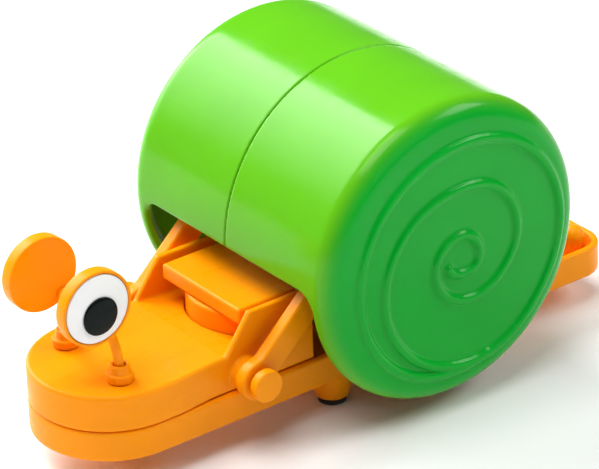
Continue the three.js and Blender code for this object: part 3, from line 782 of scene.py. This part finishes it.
arm = moulded("arm_right", "carrier", orange, arm_sdf, 0.2)
mirrored(arm, "arm_left", "carrier")
pin = moulded("pivot_pin_right", "base", orange, pin_sdf, 0.1)
mirrored(pin, "pivot_pin_left", "base")
shell = moulded("shell_right", "carrier", "green_plastic", shell_sdf, 0.32)
mirrored(shell, "shell_left", "carrier")


SOCKET_RADII = (1.0, 1.55, 2.1)  # bore, collar and flange


def make_eye(side):
    """The turned parts of one eye, each with softened edges."""
    sign = 1 if side == "right" else -1
    body = f"eye_{side}"
    low, high = box_mm(f"eye_disc_{side}")
    inner, outer = (low[0], high[0]) if sign > 0 else (high[0], low[0])
    centre = middle(f"eye_disc_{side}")[1:]
    radius = (high - low)[2] / 2
    recess = outer - sign * 0.55
    disc = soften([(0, inner), (radius, inner), (radius, outer), (radius - 0.45, outer),
                   (radius - 0.5, recess), (0, recess)], 0.3)
    turned(f"eye_disc_{side}", body, orange, disc, 0, centre, 96)

    white_radius = radius - 0.58
    white_low, white_high = box_mm(f"eye_white_{side}")
    back, front = (white_low[0], white_high[0]) if sign > 0 else (white_high[0], white_low[0])
    dome = [(white_radius * math.cos(a), front - sign * 0.35 * (1 - math.sin(a)))
            for a in np.linspace(0.12, math.pi / 2, 12)]
    turned(f"eye_white_{side}", body, "eye_white", [(0, back), (white_radius, back), *dome], 0, centre, 96)

    pupil = middle(f"eye_pupil_{side}")[1:]
    pupil_low, pupil_high = box_mm(f"eye_pupil_{side}")
    back, front = (pupil_low[0], pupil_high[0]) if sign > 0 else (pupil_high[0], pupil_low[0])
    pupil_radius = (pupil_high - pupil_low)[2] / 2
    dome = [(pupil_radius * math.cos(a), back + (front - back) * math.sin(a))
            for a in np.linspace(0.05, math.pi / 2, 14)]
    turned(f"eye_pupil_{side}", body, "eye_black", [(0, back), (pupil_radius, back), *dome], 0, pupil, 72)

    ring = middle(f"eye_socket_{side}")
    seat_low, seat_top = box_mm(f"eye_socket_{side}")[0][2], box_mm(f"eye_socket_{side}")[1][2]
    bore, collar, flange = SOCKET_RADII
    profile = [
        (bore, seat_low), (collar, seat_low), (collar, HEAD_TOP + 0.1), (flange, HEAD_TOP + 0.1),
        (flange, HEAD_TOP + 1.5), (collar, HEAD_TOP + 1.5), (collar, seat_top), (bore, seat_top),
        (bore, seat_low),
    ]
    turned(f"eye_socket_{side}", "base", orange, soften(profile, 0.22), 2, ring, 64)


for side in ("right", "left"):
    make_eye(side)

STALK_RADIUS = 0.75


def curve_point(knots, t):
    """A point of the cubic curve from the first knot to the last, drawn towards the middle two."""
    a, b, c, d = knots
    return a * (1 - t) ** 3 + b * 3 * t * (1 - t) ** 2 + c * 3 * t ** 2 * (1 - t) + d * t ** 3


def stalk_sdf(p):
    """The right stalk: up out of the socket, then in and forward to a pad behind the disc."""
    socket = middle("eye_socket_right")
    top = box_mm("eye_socket_right")[1][2]
    low, high = box_mm("eye_disc_right")
    eye = (low + high) / 2
    pad = np.array([low[0] - 1.3, eye[1] + 3.2, eye[2] - 4.2])
    knots = [Vector((socket[0], socket[1], HEAD_TOP - 1)), Vector((socket[0], socket[1], top + 1.6)),
             Vector((socket[0] - 0.2, socket[1] - 0.3, top + 3.4)), Vector(pad)]
    curve = [curve_point(knots, t) for t in np.linspace(0, 1, 15)]
    distance = np.full(len(p), 99.0)
    for a, b in zip(curve, curve[1:]):
        distance = np.minimum(distance, segment(p, a, b, STALK_RADIUS))
    return join(distance, rod(p, 0, pad[1:], 1.1, low[0] - 1.8, low[0] - 0.2, 0.2), 0.3)


stalk = moulded("eye_stalk_right", "eye_right", orange, stalk_sdf, 0.14)
mirrored(stalk, "eye_stalk_left", "eye_left")


def make_soles_and_posts():
    for place in FOOT_NODES:
        low, high = box_mm(f"sole_{place}")
        radius = (high - low)[0] / 2
        profile = soften([(0, low[2]), (radius, low[2]), (radius, high[2]), (0, high[2])], 0.2)
        turned(f"sole_{place}", "base", "black_rubber", profile, 2, (low + high) / 2, 48)
    for side in ("right", "left"):
        low, high = box_mm(f"tail_post_{side}")
        radius = (high - low)[0] / 2
        dome = [(radius * math.cos(a), high[2] - radius + radius * math.sin(a))
                for a in np.linspace(0, math.pi / 2, 10)]
        turned(f"tail_post_{side}", "base", orange, [(0, low[2]), (radius, low[2]), *dome], 2,
               (low + high) / 2, 48)


make_soles_and_posts()


SCREW_HEAD_RADIUS = 1.9
THREAD_DEPTH = 0.12
THREAD_PITCH = 0.8


def screw_sdf(p):
    """A slotted pan head screw at the front right place, with a shallow thread."""
    low, high = box_mm("screw_front_right")
    centre = (low + high) / 2
    x, y, z = p.T
    radial = np.hypot(x - centre[0], y - centre[1])
    head = corner_distance(radial - SCREW_HEAD_RADIUS, slab(z, low[2], low[2] + 1), 0.3)
    angle = np.arctan2(y - centre[1], x - centre[0]) / (2 * math.pi)
    thread = THREAD_DEPTH * (np.abs(((z / THREAD_PITCH - angle) % 1) - 0.5) * 2)
    shank = np.maximum(radial - 0.72 - thread, slab(z, low[2] + 0.5, high[2])) * 0.8
    tip = (radial - (high[2] - z) * 0.9) * 0.7
    screw = join(head, np.maximum(shank, tip), 0.1)
    return carve(screw, rounded_box(p, (centre[0] - 1.4, centre[1] - 0.25, low[2] - 1),
                                    (centre[0] + 1.4, centre[1] + 0.25, low[2] + 0.45), 0.05))


def make_screws():
    first = moulded("screw_front_right", "base", "screw_steel", screw_sdf, 0.1)
    home = middle("screw_front_right")
    for place in SCREW_NODES[1:]:
        node = f"screw_{place}"
        twin = first.copy()
        twin.data = first.data.copy()
        twin.name = f"{node}_fine"
        twin.parent = None
        twin.data.transform(Matrix.Translation((middle(node) - home) * MM))
        bpy.context.scene.collection.objects.link(twin)
        settle_in(twin, node, "base")


make_screws()


def make_ballast():
    low, high = box_mm("ballast_disc")
    radius = (high - low)[0] / 2
    profile = soften([(1.5, low[2]), (radius, low[2]), (radius, high[2]), (1.5, high[2]), (1.5, low[2])], 0.2)
    turned("ballast_disc", "base", "ballast_steel", profile, 2, (low + high) / 2, 72)


make_ballast()


def make_spring():
    """A round wire wound about the plunger's stem."""
    low, high = box_mm("deck_spring")
    wire, radius, turns = 0.33, 2.9, 4.5
    steps, sides = 180, 12
    bottom, top = low[2] + wire + 0.02, high[2] - wire - 0.02
    vertices, faces = [], []
    for i in range(steps + 1):
        turn = 2 * math.pi * turns * i / steps
        out = np.array([math.cos(turn), math.sin(turn), 0])
        middle_line = np.array([0, STEM_Y, bottom + (top - bottom) * i / steps]) + radius * out
        for k in range(sides):
            a = 2 * math.pi * k / sides
            vertices.append(middle_line + wire * (math.cos(a) * out + np.array([0, 0, math.sin(a)])))
    for i in range(steps):
        for k in range(sides):
            a, b = i * sides + k, i * sides + (k + 1) % sides
            faces.append([a, a + sides, b + sides, b])
    faces.append(range(sides))
    faces.append(range(steps * sides, (steps + 1) * sides))
    piece = add_object("deck_spring_fine", vertices, faces, MATERIALS["spring_steel"])
    outward(piece.data)
    settle_in(piece, "deck_spring", "base")
    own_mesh(piece)


make_spring()


def make_spool():
    low, high = box_mm("spool_hub")
    tip, radius = high[0], (high - low)[2] / 2
    half, rim, web, axle = 9.4, 1.2, 0.8, 2.2
    side = [(radius - rim, web), (axle, web), (axle, tip), (0, tip)]
    profile = [(r, -x) for r, x in reversed(side)]
    profile += [(radius - rim, -half), (radius, -half), (radius, half), (radius - rim, half)] + side
    turned("spool_hub", "spool", orange, soften(profile, 0.25), 0, (SHELL_Y, SHELL_Z), 96)
    for node, slot in (("tape_core", "core_card"), ("tape_roll", "tape_film")):
        low, high = box_mm(node)
        outer = (high - low)[2] / 2
        inner = 12.7 if node == "tape_core" else 13.95
        wall = [(inner, low[0]), (outer, low[0]), (outer, high[0]), (inner, high[0]), (inner, low[0])]
        turned(node, "spool", slot, soften(wall, 0.15), 0, (SHELL_Y, SHELL_Z), 128)


make_spool()


# ---------------------------------------------------------------- camera, lights and floor

VIEW_AZIMUTH = math.radians(52.98)
VIEW_ELEVATION = math.radians(27.93)
VIEW_ROLL = math.radians(-1.70)
VIEW_DISTANCE = 702.33 * MM
VIEW_TARGET = Vector((-18.36, 11.94, 12.15)) * MM
FOCAL_LENGTH = 261.2  # millimetres, on a 36 mm sensor


def make_camera():
    data = bpy.data.cameras.new("camera")
    data.sensor_width = 36.0
    data.lens = FOCAL_LENGTH
    data.clip_start, data.clip_end = 0.01, 10
    camera = bpy.data.objects.new("camera", data)
    back = Vector((math.sin(VIEW_AZIMUTH) * math.cos(VIEW_ELEVATION),
                   -math.cos(VIEW_AZIMUTH) * math.cos(VIEW_ELEVATION), math.sin(VIEW_ELEVATION)))
    right = Vector((math.cos(VIEW_AZIMUTH), math.sin(VIEW_AZIMUTH), 0))
    up = back.cross(right)
    c, s = math.cos(VIEW_ROLL), math.sin(VIEW_ROLL)
    right, up = right * c + up * s, up * c - right * s
    camera.matrix_world = Matrix.Translation(VIEW_TARGET + back * VIEW_DISTANCE) @ Matrix(
        (right, up, back)).transposed().to_4x4()
    bpy.context.scene.collection.objects.link(camera)
    bpy.context.scene.camera = camera


def add_light(name, place, target, size, power):
    """A soft area light, facing its target; power is in watts."""
    data = bpy.data.lights.new(name, "AREA")
    data.shape = "RECTANGLE"
    data.size, data.size_y = size
    data.energy = power
    light = bpy.data.objects.new(name, data)
    light.location = place
    light.rotation_mode = "QUATERNION"
    light.rotation_quaternion = (Vector(target) - Vector(place)).to_track_quat("-Z", "Y")
    bpy.context.scene.collection.objects.link(light)


def add_card():
    """A large glowing card on the left, brightest at its upper rear corner: the shell's long highlight."""
    half_width, half_height = 0.45, 0.45
    mesh = bpy.data.meshes.new("card")
    corners = [(-1, -1), (1, -1), (1, 1), (-1, 1)]
    mesh.from_pydata([(0, a * half_width, b * half_height) for a, b in corners], [], [[0, 1, 2, 3]])
    card = bpy.data.objects.new("card", mesh)
    card.location = (-0.6, 0.09 - half_width, 0.5)
    bpy.context.scene.collection.objects.link(card)
    material = bpy.data.materials.new("card_glow")
    material.use_nodes = True
    nodes, links = material.node_tree.nodes, material.node_tree.links
    nodes.clear()
    place = nodes.new("ShaderNodeTexCoord")
    along = nodes.new("ShaderNodeVectorMath")
    along.operation = "DOT_PRODUCT"
    along.inputs[1].default_value = (0, 0.8, 0.6)
    glow = nodes.new("ShaderNodeMapRange")
    glow.inputs["From Min"].default_value = -0.3
    glow.inputs["From Max"].default_value = 0.45
    glow.inputs["To Min"].default_value = 0.3
    glow.inputs["To Max"].default_value = 14.0
    emission = nodes.new("ShaderNodeEmission")
    output = nodes.new("ShaderNodeOutputMaterial")
    links.new(place.outputs["Object"], along.inputs[0])
    links.new(along.outputs["Value"], glow.inputs["Value"])
    links.new(glow.outputs["Result"], emission.inputs["Strength"])
    links.new(emission.outputs["Emission"], output.inputs["Surface"])
    mesh.materials.append(material)


def make_studio():
    floor_size = 6.0
    corners = [(-1, -1), (1, -1), (1, 1), (-1, 1)]
    mesh = bpy.data.meshes.new("floor")
    mesh.from_pydata([(a * floor_size, b * floor_size, 0) for a, b in corners], [], [[0, 1, 2, 3]])
    floor = bpy.data.objects.new("floor", mesh)
    bpy.context.scene.collection.objects.link(floor)
    material, nodes, links, shader = new_material("floor_paper")
    paper = noise(nodes, links, 30, 2)
    tone = ramp(nodes, links, paper.outputs["Fac"], [(0.3, (0.90, 0.90, 0.90)), (0.7, (0.93, 0.93, 0.93))])
    links.new(tone.outputs["Color"], shader.inputs["Base Color"])
    shader.inputs["Roughness"].default_value = 0.7
    mesh.materials.append(material)

    target = (0, 0, 0.02)
    add_light("top", (0.05, -0.25, 0.9), target, (0.6, 0.6), 6.5)
    add_light("back_right", (0.38, 0.57, 0.6), target, (0.45, 0.3), 3)
    add_light("right", (0.85, 0.15, 0.35), target, (0.5, 0.4), 0.4)
    add_card()

    world = bpy.data.worlds.new("studio")
    bpy.context.scene.world = world
    world.use_nodes = True
    world.node_tree.nodes["Background"].inputs["Color"].default_value = (1, 1, 1, 1)
    world.node_tree.nodes["Background"].inputs["Strength"].default_value = 0.12
    bpy.context.scene.view_settings.view_transform = "Standard"


make_camera()
make_studio()
